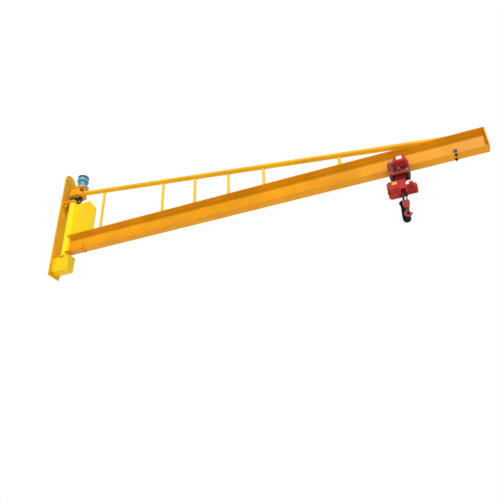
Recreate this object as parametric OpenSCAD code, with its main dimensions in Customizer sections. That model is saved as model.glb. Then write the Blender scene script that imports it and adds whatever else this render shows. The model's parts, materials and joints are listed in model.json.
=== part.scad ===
// Wall jib crane with a motor-driven slewing head, a tied I-beam jib and a chain hoist on a motor trolley.
// X runs out from the wall along the jib, Z is up; X = 0 is the wall, Z = 0 the underside of the jib beam.

/* [Wall plate] */
// Width of the wall plate
plate_w = 240; // [220:5:300]
// Thickness of the wall plate
plate_t = 20; // [16:1:28]
// Depth of the plate's foot below the jib beam
plate_drop = 385; // [365:5:440]
// Height of the rounded top's centre above the slewing arm
plate_rise = 500; // [480:5:560]
// Diameter of the anchor holes
anchor_d = 26; // [18:1:30]
// Distance of the anchor holes from the plate's edge
anchor_edge = 30; // [24:1:40]
// Height between the upper rows of anchors
anchor_rise_top = 540; // [530:5:570]
// Height between the lower rows of anchors
anchor_rise_low = 300; // [280:5:320]

/* [Mast] */
// Distance from the wall to the slewing axis
mast_x = 165; // [155:1:200]
// Outside diameter of the mast tube
mast_d = 133; // [127:0.1:135]
// Wall of the mast tube
mast_wall = 8; // [5:0.5:12]
// Diameter of the foot spindle
spindle_d = 80; // [60:1:90]
// Diameter of the foot flange
foot_d = 180; // [160:1:190]
// Drop from the beam's underside to the tube's foot
foot_drop = 54; // [45:1:80]
// Thickness of the foot flange
foot_t = 20; // [14:1:26]
// Radial running clearance of the mast and pinion bearings
run_gap = 0.08; // [0.04:0.01:0.1]

/* [Slewing head] */
// Height of the slewing arm above the beam's top
arm_rise = 670; // [640:5:720]
// Thickness of the slewing arm
arm_t = 30; // [22:1:36]
// Half width of the arm
arm_r = 80; // [78:1:83]
// Module of the slewing gear
gear_m = 5; // [4.9:0.05:5.25]
// Teeth on the fixed gear
gear_z = 32; // [31:1:34]
// Teeth on the pinion
pinion_z = 14; // [13:1:16]
// Height of the gear ring
gear_h = 55; // [40:1:70]
// Space between the gear and the head box
head_gap = 20; // [15:1:30]
// Thickness of the head box's plates
head_plate_t = 16; // [12:1:20]
// Thickness of the head box's wall
head_wall_t = 10; // [8:1:14]
// Height of the head box's wall
head_h = 145; // [135:1:180]
// Overhang of the head plates past the wall
head_lip = 12; // [6:1:18]
// Radius of the head box round the mast
head_r_mast = 90; // [82:1:100]
// Radius of the head box round the motor
head_r_motor = 88; // [86:1:96]
// Radius of the slewing motor's cowl
motor_r = 90; // [84:1:94]
// Height of the slewing motor above its flange
motor_h = 245; // [220:1:270]

/* [Lower bracket] */
// Half width of the lower bracket
bracket_r = 70; // [66:1:80]
// Reach of the lower bracket past the slewing axis
bracket_reach = 145; // [125:1:165]
// Height of the lower bracket's cheeks
bracket_h = 230; // [210:5:250]
// Plate thickness of the lower bracket
bracket_t = 14; // [10:1:18]
// Thickness of the bearing plate
bearing_plate_t = 20; // [16:1:26]
// Thickness of the thrust washer
washer_t = 5.7; // [4:0.1:8]

/* [Jib] */
// Reach of the jib from the slewing axis
reach = 6287; // [6200:1:6400]
// Depth of the I-beam
beam_h = 300; // [290:1:320]
// Flange width of the I-beam
beam_w = 140; // [134:1:150]
// Web thickness
beam_tw = 7.5; // [6.5:0.1:9]
// Mean flange thickness
beam_tf = 12.4; // [11.5:0.1:14]
// Thickness of the tip plate
tip_t = 12; // [8:1:16]
// Length of the root gusset from the slewing axis
gusset_l = 470; // [420:5:500]
// Thickness of the root gusset
gusset_t = 14; // [10:1:20]
// Diameter of the tie pipe
tie_d = 76.1; // [70:0.1:80]
// Wall of the tie pipe
tie_wall = 4; // [3:0.1:6]
// Height of the tie's axis above the beam at the slewing axis
tie_rise = 861; // [850:1:880]
// Distance from the slewing axis to where the tie's axis meets the beam
tie_run = 5895; // [5800:5:5950]
// Diameter of the tie struts
strut_d = 42.4; // [38:0.1:50]
// Wall of the tie struts
strut_wall = 3.2; // [2.5:0.1:5]
// Distance from the slewing axis to the first strut
strut_first = 600; // [560:5:640]
// Pitch of the strut stations
strut_pitch = 550; // [520:5:560]
// Distance of the outer trolley stops from the wall
stop_out = 6056; // [6040:1:6080]
// Distance of the inner trolley stops from the wall
stop_in = 512; // [480:1:520]

/* [Trolley and hoist] */
// Distance of the trolley's centre from the wall
trolley_x = 5350; // [5250:5:5450]
// Half the wheelbase
wheel_dx = 75; // [70:1:82]
// Tread radius of a wheel at its middle
wheel_r = 51.4; // [46:0.1:54]
// Gap between the wheels and the flange
wheel_gap = 0.3; // [0.2:0.05:0.6]
// Thickness of the trolley side plates
side_t = 10; // [8:1:14]
// Half width between the side plates
side_y = 82; // [80:1:90]
// Diameter of the suspension shaft
shaft_d = 36; // [28:1:40]
// Depth of the suspension shaft below the beam
shaft_drop = 38; // [34:1:46]
// Depth of the travel motor's housing
travel_depth = 44; // [36:1:60]
// Half the distance between the trolley's tie bolts
tie_dx = 98; // [92:1:104]
// Radius of the tie bolts' sleeves
spacer_r = 17; // [14:1:20]
// Depth of the hoist body's top below the beam
hoist_drop = 185; // [175:1:200]
// Height of the hoist body
hoist_h = 190; // [180:1:205]
// Half depth of the hoist's chain housing
housing_y = 56; // [50:1:64]
// Half depth of the hoist's gear case
case_r = 100; // [92:1:110]
// Radius of the hoist motor
hoist_motor_r = 68; // [62:1:74]
// Wire diameter of the load chain
chain_d = 8; // [7:0.1:8.5]
// Pitch of the load chain
chain_p = 24; // [23:0.1:25]
// Half the distance between the chain's falls
fall_dx = 22; // [20:0.5:24]
// Height of the hook block
block_h = 106; // [100:1:116]
// Radius of the hook's shank
shank_r = 13; // [10:0.5:14]
// Inner radius of the hook's bowl
bowl_r = 23; // [20:0.5:25]
// Section radius of the hook
hook_r = 14; // [11:0.5:15]
// Radius of the chain bag
bag_r = 54; // [48:1:58]
// Height of the chain bag
bag_h = 300; // [260:5:320]

/* [Hidden] */
$fn = 64;
paint = "goldenrod";
red = "firebrick";
blue = "steelblue";
steel = "dimgray";
black = "black";
fit = 0.2;
beam_top = beam_h;
arm_z = beam_top + arm_rise;
gear_z0 = arm_z + arm_t;
gear_top = gear_z0 + gear_h;
head_z = gear_top + head_gap;
head_wall_z = head_z + head_plate_t;
head_top_z = head_wall_z + head_h;
motor_z = head_top_z + head_plate_t;
mast_r = mast_d / 2;
gear_r = gear_m * gear_z / 2;
pinion_r = gear_m * pinion_z / 2;
pinion_dx = gear_r + pinion_r;
pinion_x = mast_x + pinion_dx;
pinion_shaft_r = 22;
plate_top = gear_z0 + plate_rise - 30;
anchor_y = plate_w / 2 - anchor_edge;
anchor_top = plate_top;
anchor_low = -30;
foot_z = -foot_drop;
washer_top = foot_z - foot_t - 0.3;
bearing_top = washer_top - washer_t;
bracket_top = bearing_top - bearing_plate_t;
bracket_x = mast_x + bracket_reach;
tie_a = atan(tie_rise / tie_run);
tie_r = tie_d / 2;
tie_slots = [0, 2, 3, 4, 5, 7];
beam_x0 = mast_x + 30;
tip_x = mast_x + reach - tip_t;
slope = tan(8);
flange_q = beam_tw / 2 + (beam_w - beam_tw) / 4;
root_r = 14;
toe_r = 6;
tread_y = 52;
wheel_z = flange_t(tread_y) + wheel_gap + wheel_r;
axle_r = 14;
shaft_z = -shaft_drop;
hoist_top = -hoist_drop;
hoist_bot = hoist_top - hoist_h;
hoist_motor_z = hoist_bot + 58;
tie_z = -82;
spacer_bolt_r = 9;
chain_pin = 4;
chain_w = chain_d + 2;
link_dz = chain_p - 0.35;
chain_z = hoist_bot + 20;
chain_end = chain_z - 6 * link_dz - chain_p / 2 + chain_pin + fit;
block_top = hoist_bot - 84 - link_dz;
block_bot = block_top - block_h;
bowl_z = block_bot - 14 - bowl_r - 2 * hook_r - 10;
bag_y = 140;
bag_x = trolley_x - 30;
bag_top = hoist_bot - 22;
stop_y = 45;
stop_l = 44;

function rev(p) = [for (i = [len(p) - 1 : -1 : 0]) p[i]];
function arc(c, r, a0, a1, n) = [for (i = [0 : n]) let (a = a0 + (a1 - a0) * i / n) [c[0] + r * cos(a), c[1] + r * sin(a)]];

// Thickness of a tapered flange at distance y from the web's middle.
function flange_t(y) = beam_tf + (flange_q - y) * slope;

// One flank of the rolled section, from the flange's corner to the web, with the toe and root radii.
function beam_flank() =
    let (k = sqrt(1 + slope * slope),
         toe = [beam_w / 2 - toe_r, flange_t(beam_w / 2 - toe_r) - toe_r * k],
         root = [beam_tw / 2 + root_r, flange_t(beam_tw / 2 + root_r) + root_r * k])
    concat([[beam_w / 2, 0]], arc(toe, toe_r, 0, 82, 4), arc(root, root_r, 262, 180, 6));

function beam_section() =
    let (f = beam_flank())
    concat(f, [for (p = rev(f)) [p[0], beam_h - p[1]]], [for (p = f) [-p[0], beam_h - p[1]]], [for (p = rev(f)) [-p[0], p[1]]]);

// Outline of the slewing head: two arcs joined by tangents, grown by g.
function head_outline(g) =
    let (t = acos((head_r_mast - head_r_motor) / pinion_dx))
    concat(arc([mast_x, 0], head_r_mast + g, t, 360 - t, 22), arc([pinion_x, 0], head_r_motor + g, -t, t, 26));

function inv(a) = tan(a) * 180 / PI - a;

// Involute gear outline with z teeth, thinned by a half-angle for backlash.
function gear_outline(z, m, thin, turn) =
    let (pa = 25, rp = m * z / 2, rb = rp * cos(pa), ra = rp + m * 0.95, rf = rp - m * 1.2,
         r0 = max(rb, rf) + 0.01, n = 5)
    [for (k = [0 : z - 1]) let (c = turn + k * 360 / z)
        for (s = [-1, 1], i = [0 : n + 1])
            let (j = s < 0 ? i : n + 1 - i,
                 r = j == 0 ? rf : r0 + (ra - r0) * (j - 1) / n,
                 h = 90 / z - thin + inv(pa) - inv(acos(rb / max(r, r0))))
            [r * cos(c + s * h), r * sin(c + s * h)]];

// Finned outline: n square fins of thickness t from radius r0 to r1.
function fins(n, r0, r1, t) = [for (k = [0 : n - 1], p = [[r0, -1], [r1, -1], [r1, 1], [r0, 1]])
    let (a = (k + 0.5) * 360 / n + p[1] * asin(t / 2 / p[0])) [p[0] * cos(a), p[0] * sin(a)]];

// Plate drawn in the X-Z plane, t thick about y.
module plate_xz(points, t, y) translate([0, y + t / 2, 0]) rotate([90, 0, 0]) linear_extrude(t) polygon(points);

// Extrudes a Y-Z outline along X.
module along_x(x, l) translate([x, 0, 0]) rotate([90, 0, 90]) linear_extrude(l) children();

module rod_y(x, z, r, y0, y1) translate([x, y1, z]) rotate([90, 0, 0]) cylinder(r = r, h = y1 - y0);

module rod_x(x0, x1, y, z, r) translate([x0, y, z]) rotate([0, 90, 0]) cylinder(r = r, h = x1 - x0);

module tube(d, wall, h) difference() {
    cylinder(d = d, h = h);
    translate([0, 0, -1]) cylinder(d = d - 2 * wall, h = h + 2);
}

module wall_plate() color(paint) difference() {
    along_x(0, plate_t) union() {
        translate([-plate_w / 2, -plate_drop]) square([plate_w, plate_drop + plate_top]);
        translate([0, plate_top]) circle(d = plate_w);
    }
    for (y = [-anchor_y, anchor_y], z = [anchor_top, anchor_top - anchor_rise_top, anchor_low, anchor_low - anchor_rise_low])
        rod_x(-1, plate_t + 1, y, z, anchor_d / 2);
}

module top_arm() color(paint) difference() {
    translate([0, 0, arm_z]) linear_extrude(arm_t) union() {
        translate([plate_t, -arm_r]) square([mast_x - plate_t, 2 * arm_r]);
        translate([mast_x, 0]) circle(r = arm_r);
    }
    translate([mast_x, 0, arm_z - 1]) cylinder(r = mast_r + run_gap, h = arm_t + 2);
}

module arm_ribs() color(paint) for (y = [-50, 50])
    plate_xz([[plate_t, arm_z], [plate_t, arm_z - 110], [plate_t + 16, arm_z - 110], [mast_x - mast_r - 6, arm_z - 26], [mast_x - mast_r - 6, arm_z]], 14, y);

module slew_gear() color(steel) difference() {
    translate([mast_x, 0, gear_z0]) linear_extrude(gear_h) polygon(gear_outline(gear_z, gear_m, 0.18, 180 / gear_z));
    translate([mast_x, 0, gear_z0 - 1]) cylinder(r = mast_r + 1, h = gear_h + 2);
}

module bracket_cheeks() color(paint) for (s = [-1, 1])
    plate_xz([[plate_t, bracket_top], [plate_t, bracket_top - bracket_h], [bracket_x - bracket_t, bracket_top - bracket_h], [bracket_x - bracket_t, bracket_top]], bracket_t, s * (bracket_r - bracket_t / 2));

module bracket_bearing_plate() color(paint) difference() {
    translate([plate_t, -bracket_r, bracket_top]) cube([bracket_x - plate_t, 2 * bracket_r, bearing_plate_t]);
    translate([mast_x, 0, bracket_top - 1]) cylinder(r = spindle_d / 2 + run_gap, h = bearing_plate_t + 2);
}

module bracket_floor_plate() color(paint) difference() {
    translate([plate_t, bracket_t - bracket_r, bracket_top - bracket_h]) cube([bracket_x - bracket_t - plate_t, 2 * (bracket_r - bracket_t), bracket_t]);
    translate([mast_x, 0, bracket_top - bracket_h - 1]) cylinder(r = spindle_d / 2 + run_gap, h = bracket_t + 2);
}

module bracket_end_plate() color(paint)
    translate([bracket_x - bracket_t, -bracket_r, bracket_top - bracket_h]) cube([bracket_t, 2 * bracket_r, bracket_h]);

module thrust_washer() color(steel) difference() {
    translate([mast_x, 0, bearing_top]) cylinder(r = bracket_r - 4, h = washer_t);
    translate([mast_x, 0, bearing_top - 1]) cylinder(r = spindle_d / 2 + 1, h = washer_t + 2);
}

module mast_tube() color(paint) translate([mast_x, 0, foot_z]) tube(mast_d, mast_wall, head_z - foot_z);

module mast_foot() color(paint) translate([mast_x, 0, foot_z - foot_t]) {
    cylinder(d = foot_d, h = foot_t);
    translate([0, 0, bracket_top - bracket_h - 6 - (foot_z - foot_t)]) cylinder(d = spindle_d, h = foot_z - foot_t - (bracket_top - bracket_h - 6));
}

module head_bottom_plate() color(paint) difference() {
    translate([0, 0, head_z]) linear_extrude(head_plate_t) polygon(head_outline(head_lip));
    translate([pinion_x, 0, head_z - 1]) cylinder(r = pinion_shaft_r + run_gap, h = head_plate_t + 2);
}

module head_wall() color(paint) translate([0, 0, head_wall_z]) linear_extrude(head_h) difference() {
    polygon(head_outline(0));
    polygon(head_outline(-head_wall_t));
}

module head_top_plate() color(paint) difference() {
    translate([0, 0, head_top_z]) linear_extrude(head_plate_t) polygon(head_outline(head_lip));
    translate([pinion_x, 0, head_top_z - 1]) cylinder(r = pinion_shaft_r + 6, h = head_plate_t + 2);
}

module head_port() color(steel) difference() {
    translate([pinion_x, 0, head_wall_z + 0.6 * head_h]) rotate([0, 90, -50]) difference() {
        cylinder(r = 32, h = head_r_motor + 10);
        translate([0, 0, head_r_motor + 4]) difference() {
            cylinder(r = 26, h = 10);
            translate([0, 0, -1]) cylinder(r = 14, h = 9);
        }
    }
    translate([0, 0, head_wall_z - 1]) linear_extrude(head_h + 2) polygon(head_outline(fit));
}

module slew_motor() color(blue) translate([pinion_x, 0, motor_z]) {
    cylinder(r = motor_r + 1, h = 16);
    translate([0, 0, 16]) linear_extrude(motor_h * 0.55 - 16) polygon(fins(24, motor_r - 24, motor_r - 14, 4));
}

module slew_motor_cowl() color(blue) translate([pinion_x, 0, motor_z + motor_h * 0.55]) rotate_extrude() polygon(concat(
    [[0, 0], [motor_r, 0]], arc([motor_r - 20, motor_h * 0.45 - 20], 20, 0, 90, 6), [[0, motor_h * 0.45]]));

module slew_terminal_box() color(blue) translate([pinion_x - 40, (motor_r - 14) * sin(82.5 + asin(2 / (motor_r - 14))) + fit, motor_z + 30]) cube([80, 36, 70]);

module root_gusset() color(paint)
    plate_xz([[mast_x + mast_r + fit, beam_top], [mast_x + mast_r + fit, arm_z - 30], [mast_x + gusset_l - 144, arm_z - 30], [mast_x + gusset_l, arm_z - 210], [mast_x + gusset_l, beam_top]], gusset_t, 0);

module jib_beam() color(paint) difference() {
    along_x(beam_x0, tip_x - beam_x0) polygon(beam_section());
    translate([mast_x, 0, -1]) cylinder(r = mast_r + fit, h = beam_h + 2);
    for (x = [stop_in, stop_out], y = [-stop_y, stop_y]) translate([x, y, -1]) cylinder(r = 11, h = 40);
}

// Solid on the tie's axis, from the slewing axis to past its foot.
module tie_line(r) translate([mast_x, 0, beam_top + tie_rise]) rotate([0, 90 + tie_a, 0]) cylinder(r = r, h = tie_run / cos(tie_a) + 400);

module tie_pipe() color(paint) difference() {
    tie_line(tie_r);
    tie_line(tie_r - tie_wall);
    translate([mast_x, -100, beam_top - 200]) cube([tie_run + 600, 200, 200]);
    translate([0, 0, head_wall_z]) linear_extrude(head_h) polygon(head_outline(fit));
    translate([0, 0, head_z - 20]) linear_extrude(head_plate_t + 20 + fit) polygon(head_outline(head_lip + fit));
    translate([mast_x - 1, -100, head_z - 20]) cube([pinion_dx, 200, 400]);
}

module strut(i) color(paint) difference() {
    translate([mast_x + strut_first + tie_slots[i] * strut_pitch, 0, beam_top]) tube(strut_d, strut_wall, tie_rise * (1 - (strut_first + tie_slots[i] * strut_pitch) / tie_run));
    tie_line(tie_r + fit);
}

module tie_strut_1() strut(0);
module tie_strut_2() strut(1);
module tie_strut_3() strut(2);
module tie_strut_4() strut(3);
module tie_strut_5() strut(4);
module tie_strut_6() strut(5);

module tip_plate() color(paint) translate([tip_x, -beam_w / 2, 0]) cube([tip_t, beam_w, beam_h]);

// Stop block on the lower flange, held by a stud and a nut under it.
module stop(x, s) {
    along_x(x - stop_l / 2, stop_l) polygon([for (p = [[24, flange_t(24) + wheel_gap], [64, flange_t(64) + wheel_gap], [64, 68], [24, 68]]) [s * p[0], p[1]]]);
    translate([x, s * stop_y, -30]) cylinder(r = 10, h = 60);
    translate([x, s * stop_y, -18]) cylinder(r = 17, h = 18, $fn = 6);
}

module outer_stops() color(paint) for (s = [-1, 1]) stop(stop_out, s);
module inner_stops() color(paint) for (s = [-1, 1]) stop(stop_in, s);

module drive_pinion() color(steel) translate([pinion_x, 0, 0]) {
    translate([0, 0, gear_z0 + 2]) linear_extrude(gear_h + 3) polygon(gear_outline(pinion_z, gear_m, 0.4, 180));
    translate([0, 0, arm_z - 22]) cylinder(r = pinion_r - 8.5, h = arm_t + 24);
    translate([0, 0, gear_top + 4]) cylinder(r = pinion_shaft_r, h = motor_z - gear_top - 10);
}

module trolley_side(s) color(red) difference() {
    plate_xz([for (p = [[-134, -20], [-134, 60], [-104, 96], [104, 96], [134, 60], [134, -20], [118, -112], [-118, -112]]) [trolley_x + p[0], p[1]]], side_t, s * (side_y + side_t / 2));
    for (dx = [-wheel_dx, wheel_dx]) rod_y(trolley_x + dx, wheel_z, axle_r + fit, -200, 200);
    for (dx = [-tie_dx, tie_dx]) rod_y(trolley_x + dx, tie_z, spacer_bolt_r + fit, -200, 200);
    rod_y(trolley_x, shaft_z, shaft_d / 2 + fit, -200, 200);
    for (dx = [-49, 49]) rod_y(trolley_x + dx, shaft_z, 18, -200, 200);
}

module trolley_plate_front() trolley_side(-1);
module trolley_plate_rear() trolley_side(1);

// Wheel with a tapered tread, an outer flange and a stub axle, on the side s.
module wheel(x, s) translate([x, 0, wheel_z]) rotate([s > 0 ? -90 : 90, 0, 0]) rotate_extrude() polygon([
    [0, tread_y - 15], [wheel_r - 15 * slope, tread_y - 15], [wheel_r + 15 * slope, tread_y + 15], [wheel_r + 15 * slope, beam_w / 2 + 2],
    [wheel_r + 9, beam_w / 2 + 2], [wheel_r + 9, side_y - 2], [axle_r + 6, side_y - 2], [axle_r + 6, side_y - fit],
    [axle_r, side_y - fit], [axle_r, side_y + side_t + 8], [0, side_y + side_t + 8]]);

module trolley_wheels() color(steel) for (dx = [-wheel_dx, wheel_dx], s = [-1, 1]) wheel(trolley_x + dx, s);

module suspension_shaft() color(steel) {
    rod_y(trolley_x, shaft_z, shaft_d / 2, -side_y - side_t - 12, side_y + side_t + 12);
    for (s = [-1, 1]) rod_y(trolley_x, shaft_z, shaft_d / 2 + 8, s > 0 ? side_y + side_t : -side_y - side_t - 8, s > 0 ? side_y + side_t + 8 : -side_y - side_t);
}

// Rubber-sleeved tie bolts that keep the side plates apart.
module trolley_spacers() color(black) for (dx = [-tie_dx, tie_dx]) {
    rod_y(trolley_x + dx, tie_z, spacer_r, fit - side_y, side_y - fit);
    rod_y(trolley_x + dx, tie_z, spacer_bolt_r, -side_y - side_t - 10, side_y + side_t + 10);
}

module travel_gearbox() color(red) difference() {
    plate_xz([for (p = [[-56, 4], [-56, 84], [-34, 104], [98, 104], [120, 84], [120, 4], [98, -12], [-34, -12]]) [trolley_x + p[0], p[1]]], 30, -side_y - side_t - 15);
    rod_y(trolley_x + wheel_dx, wheel_z, axle_r + 10, -side_y - side_t - 12, 0);
}

module travel_motor() color(red) {
    hull() for (p = [[0, 0], [travel_depth - 14, 0], [travel_depth, 12]])
        plate_xz([for (q = [[-50, 22], [-50, 60], [-30, 126], [104, 126], [112, 60], [112, 22]])
            [trolley_x + q[0] - sign(q[0]) * p[1], q[1] + (q[1] > 60 ? -p[1] : q[1] < 60 ? p[1] : 0)]], 1, -side_y - side_t - 30.5 - p[0]);
}

module hoist_lug() color(red) difference() {
    for (s = [-1, 1]) plate_xz([for (p = [[-44, hoist_top], [-72, hoist_top + 40], [-30, shaft_z + 18], [-14, shaft_z + 28], [14, shaft_z + 28], [30, shaft_z + 18], [64, hoist_top + 40], [44, hoist_top]]) [trolley_x + p[0], p[1]]], 16, s * 34);
    rod_y(trolley_x, shaft_z, shaft_d / 2 + fit, -100, 100);
}

// Eight-sided housing section across the jib, drawn in Y-Z and shrunk by g.
function case_section(g) = [for (p = [[60, 0], [case_r, -84], [case_r, 44 - hoist_h], [62, -hoist_h], [-62, -hoist_h], [-case_r, 44 - hoist_h], [-case_r, -84], [-60, 0]])
    [p[0] - sign(p[0]) * g, hoist_top + p[1] - (p[1] > -hoist_h / 2 ? g : -g)]];

module hoist_gear_case() color(red) {
    along_x(trolley_x - 166, 121) polygon(case_section(0));
    along_x(trolley_x - 178, 12) polygon(case_section(6));
    along_x(trolley_x - 186, 8) polygon(case_section(16));
}

module hoist_chain_housing() color(red) {
    difference() {
        translate([trolley_x - 45, -housing_y, hoist_bot]) cube([90, 2 * housing_y, hoist_h]);
        for (s = [-1, 1]) translate([trolley_x + s * fall_dx - 17, -17, hoist_bot - 1]) cube([34, 34, 60]);
        translate([trolley_x - 32, -housing_y - 1, hoist_bot - 1]) cube([64, housing_y - 15, 60]);
    }
    for (s = [-1, 1]) rod_y(trolley_x + s * fall_dx, chain_z + chain_p / 2 - chain_pin - fit, chain_pin, -18, 18);
}

module hoist_motor() color(red) translate([trolley_x + 45, 0, hoist_motor_z]) rotate([0, 90, 0]) {
    linear_extrude(96) polygon(fins(24, hoist_motor_r - 8, hoist_motor_r - 1, 4));
}

module hoist_motor_cover() color(red) translate([trolley_x + 141, 0, hoist_motor_z]) rotate([0, 90, 0]) rotate_extrude() polygon(concat(
    [[0, 0], [hoist_motor_r, 0]], arc([hoist_motor_r - 16, 16], 16, 0, 90, 6), [[0, 32]]));

module hoist_terminal_box() color(red) difference() {
    translate([trolley_x + 82, -30, hoist_motor_z]) cube([54, 60, hoist_motor_r + 30]);
    rod_x(trolley_x + 40, trolley_x + 150, 0, hoist_motor_z, hoist_motor_r - 1 + fit);
    translate([trolley_x + 40, -60, hoist_motor_z - 100]) cube([120, 120, 130]);
}

module link(turn) rotate([0, 0, turn]) rotate([90, 0, 0]) {
    cr = chain_w / 2 + chain_d / 2;
    st = (chain_p + chain_d) / 2 - cr;
    for (s = [-1, 1]) {
        translate([s * cr, -st, 0]) rotate([-90, 0, 0]) cylinder(d = chain_d, h = 2 * st, $fn = 24);
        translate([0, s * st, 0]) rotate([0, 0, s > 0 ? 0 : 180]) rotate_extrude(angle = 180) translate([cr, 0]) circle(d = chain_d, $fn = 24);
    }
}

module load_chain() color(steel) for (s = [-1, 1], i = [0 : 6])
    translate([trolley_x + s * fall_dx, 0, chain_z - i * link_dz]) link(i % 2 * 90);

module chain_bag() color(black) translate([bag_x, bag_y, bag_top - bag_h]) rotate_extrude() polygon(concat(
    [[0, 0]], arc([bag_r - 22, 22], 22, -90, 0, 6), [[bag_r, bag_h], [bag_r - 4, bag_h], [bag_r - 4, 24]], arc([bag_r - 24, 24], 20, 0, -90, 6), [[0, 4]]));

module bag_hanger() color(steel) {
    translate([bag_x, bag_y, bag_top - 16]) tube(2 * bag_r + 8 + 2 * fit, 4, 12);
    translate([trolley_x - 35, housing_y, bag_top - 16]) cube([30, 6, hoist_bot - bag_top + 56]);
    translate([trolley_x - 35, housing_y + 5, bag_top - 16]) cube([30, bag_y - bag_r - 7 - housing_y, 6]);
}

module hook_block() color(red) {
    difference() {
        hull() {
            for (x = [-20, 20]) rod_y(trolley_x + x, block_top - 24, 24, -28, 28);
            translate([trolley_x, 0, block_bot]) cylinder(r = 26, h = 20);
        }
        for (s = [-1, 1]) translate([trolley_x + s * fall_dx - 14, -17, block_top - 50]) cube([28, 34, 70]);
        translate([trolley_x, 0, block_bot - 1]) cylinder(r = shank_r + run_gap, h = 41);
    }
    for (s = [-1, 1]) rod_y(trolley_x + s * fall_dx, chain_end, chain_pin, -18, 18);
}

// Round ends of the hook, at its neck and at its tip.
module hook_ends(g) for (p = [[0, bowl_r + hook_r], [bowl_r + hook_r, 0]])
    translate([trolley_x + p[0], 0, bowl_z + p[1]]) sphere(r = hook_r + g);

module hook() color(red) {
    translate([trolley_x, 0, bowl_z + bowl_r + hook_r]) cylinder(r = shank_r, h = block_bot + 38 - bowl_z - bowl_r - hook_r);
    translate([trolley_x, 0, bowl_z]) rotate([90, 0, 0]) rotate_extrude(angle = -270) translate([bowl_r + hook_r, 0]) circle(r = hook_r);
    hook_ends(0);
}

module hook_latch() color(steel) difference() {
    translate([trolley_x, 0, bowl_z + bowl_r + hook_r]) rotate([0, 45, 0]) translate([0, -6, -6]) cube([(bowl_r + hook_r) * sqrt(2), 12, 5]);
    hook_ends(fit);
}

wall_plate();
top_arm();
arm_ribs();
slew_gear();
bracket_cheeks();
bracket_bearing_plate();
bracket_floor_plate();
bracket_end_plate();
thrust_washer();
mast_tube();
mast_foot();
head_bottom_plate();
head_wall();
head_top_plate();
head_port();
slew_motor();
slew_motor_cowl();
slew_terminal_box();
root_gusset();
jib_beam();
tie_pipe();
tie_strut_1();
tie_strut_2();
tie_strut_3();
tie_strut_4();
tie_strut_5();
tie_strut_6();
tip_plate();
outer_stops();
inner_stops();
drive_pinion();
trolley_plate_front();
trolley_plate_rear();
trolley_wheels();
trolley_spacers();
suspension_shaft();
travel_gearbox();
travel_motor();
hoist_lug();
hoist_gear_case();
hoist_chain_housing();
hoist_motor();
hoist_motor_cover();
hoist_terminal_box();
load_chain();
chain_bag();
bag_hanger();
hook_block();
hook();
hook_latch();
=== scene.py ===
"""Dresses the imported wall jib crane: finishes, fasteners, welds, covers, the chain bag, the hook and the stage."""

import json
from math import atan2, cos, pi, radians, sin, sqrt, tau

import bmesh
import bpy
from bpy.props import FloatProperty, FloatVectorProperty, IntProperty, PointerProperty
from bpy.types import Operator, Panel, PropertyGroup
from mathutils import Matrix, Vector


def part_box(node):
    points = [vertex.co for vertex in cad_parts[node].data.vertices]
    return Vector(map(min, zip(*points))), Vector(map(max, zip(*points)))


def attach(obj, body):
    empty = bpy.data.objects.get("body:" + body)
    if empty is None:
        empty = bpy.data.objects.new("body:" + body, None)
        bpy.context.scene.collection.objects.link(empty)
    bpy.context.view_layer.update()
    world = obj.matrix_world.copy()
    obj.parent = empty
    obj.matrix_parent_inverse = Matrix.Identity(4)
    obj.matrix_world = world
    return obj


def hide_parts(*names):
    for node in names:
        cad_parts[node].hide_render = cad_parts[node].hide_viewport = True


bl_info = {
    "name": "Wall Jib Crane",
    "version": (1, 0, 0),
    "blender": (4, 5, 0),
    "location": "View3D > Sidebar > Crane",
    "description": "Finishes, fasteners, welds and stage for a wall-mounted slewing jib crane",
    "category": "Object",
}

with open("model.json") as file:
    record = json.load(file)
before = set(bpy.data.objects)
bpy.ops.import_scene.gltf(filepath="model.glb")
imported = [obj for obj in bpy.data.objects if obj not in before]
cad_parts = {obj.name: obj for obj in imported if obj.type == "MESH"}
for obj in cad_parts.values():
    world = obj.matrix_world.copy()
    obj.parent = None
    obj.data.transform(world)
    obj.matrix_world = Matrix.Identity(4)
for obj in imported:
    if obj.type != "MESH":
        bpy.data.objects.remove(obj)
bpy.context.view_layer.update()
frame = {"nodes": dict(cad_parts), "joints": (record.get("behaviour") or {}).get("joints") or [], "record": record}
NODES = frame["nodes"]
MOUNTS = {m["name"]: m for m in frame["record"]["mounts"]}
JOINTS = {j["name"]: j for j in frame["joints"]}
MAST, PINION, HOOK = (JOINTS[name]["pos_m"][0] for name in ("jib_slew", "pinion_spin", "hook_swivel"))
AXIS_X = Vector((1, 0, 0))
AXIS_Y = Vector((0, 1, 0))
AXIS_Z = Vector((0, 0, 1))
SIDES = (-1, 1)
CORNERS = [radians(degrees) for degrees in (45, 135, 225, 315)]


def colour(name, description, default):
    """A colour that a user may change."""
    return FloatVectorProperty(name=name, description=description, subtype="COLOR", size=3, default=default)


def length(name, description, default):
    """A length that a user may change."""
    return FloatProperty(name=name, description=description, default=default, unit="LENGTH")


def angle(name, description, degrees):
    """An angle that a user may change."""
    return FloatProperty(name=name, description=description, subtype="ANGLE", default=radians(degrees))


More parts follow.
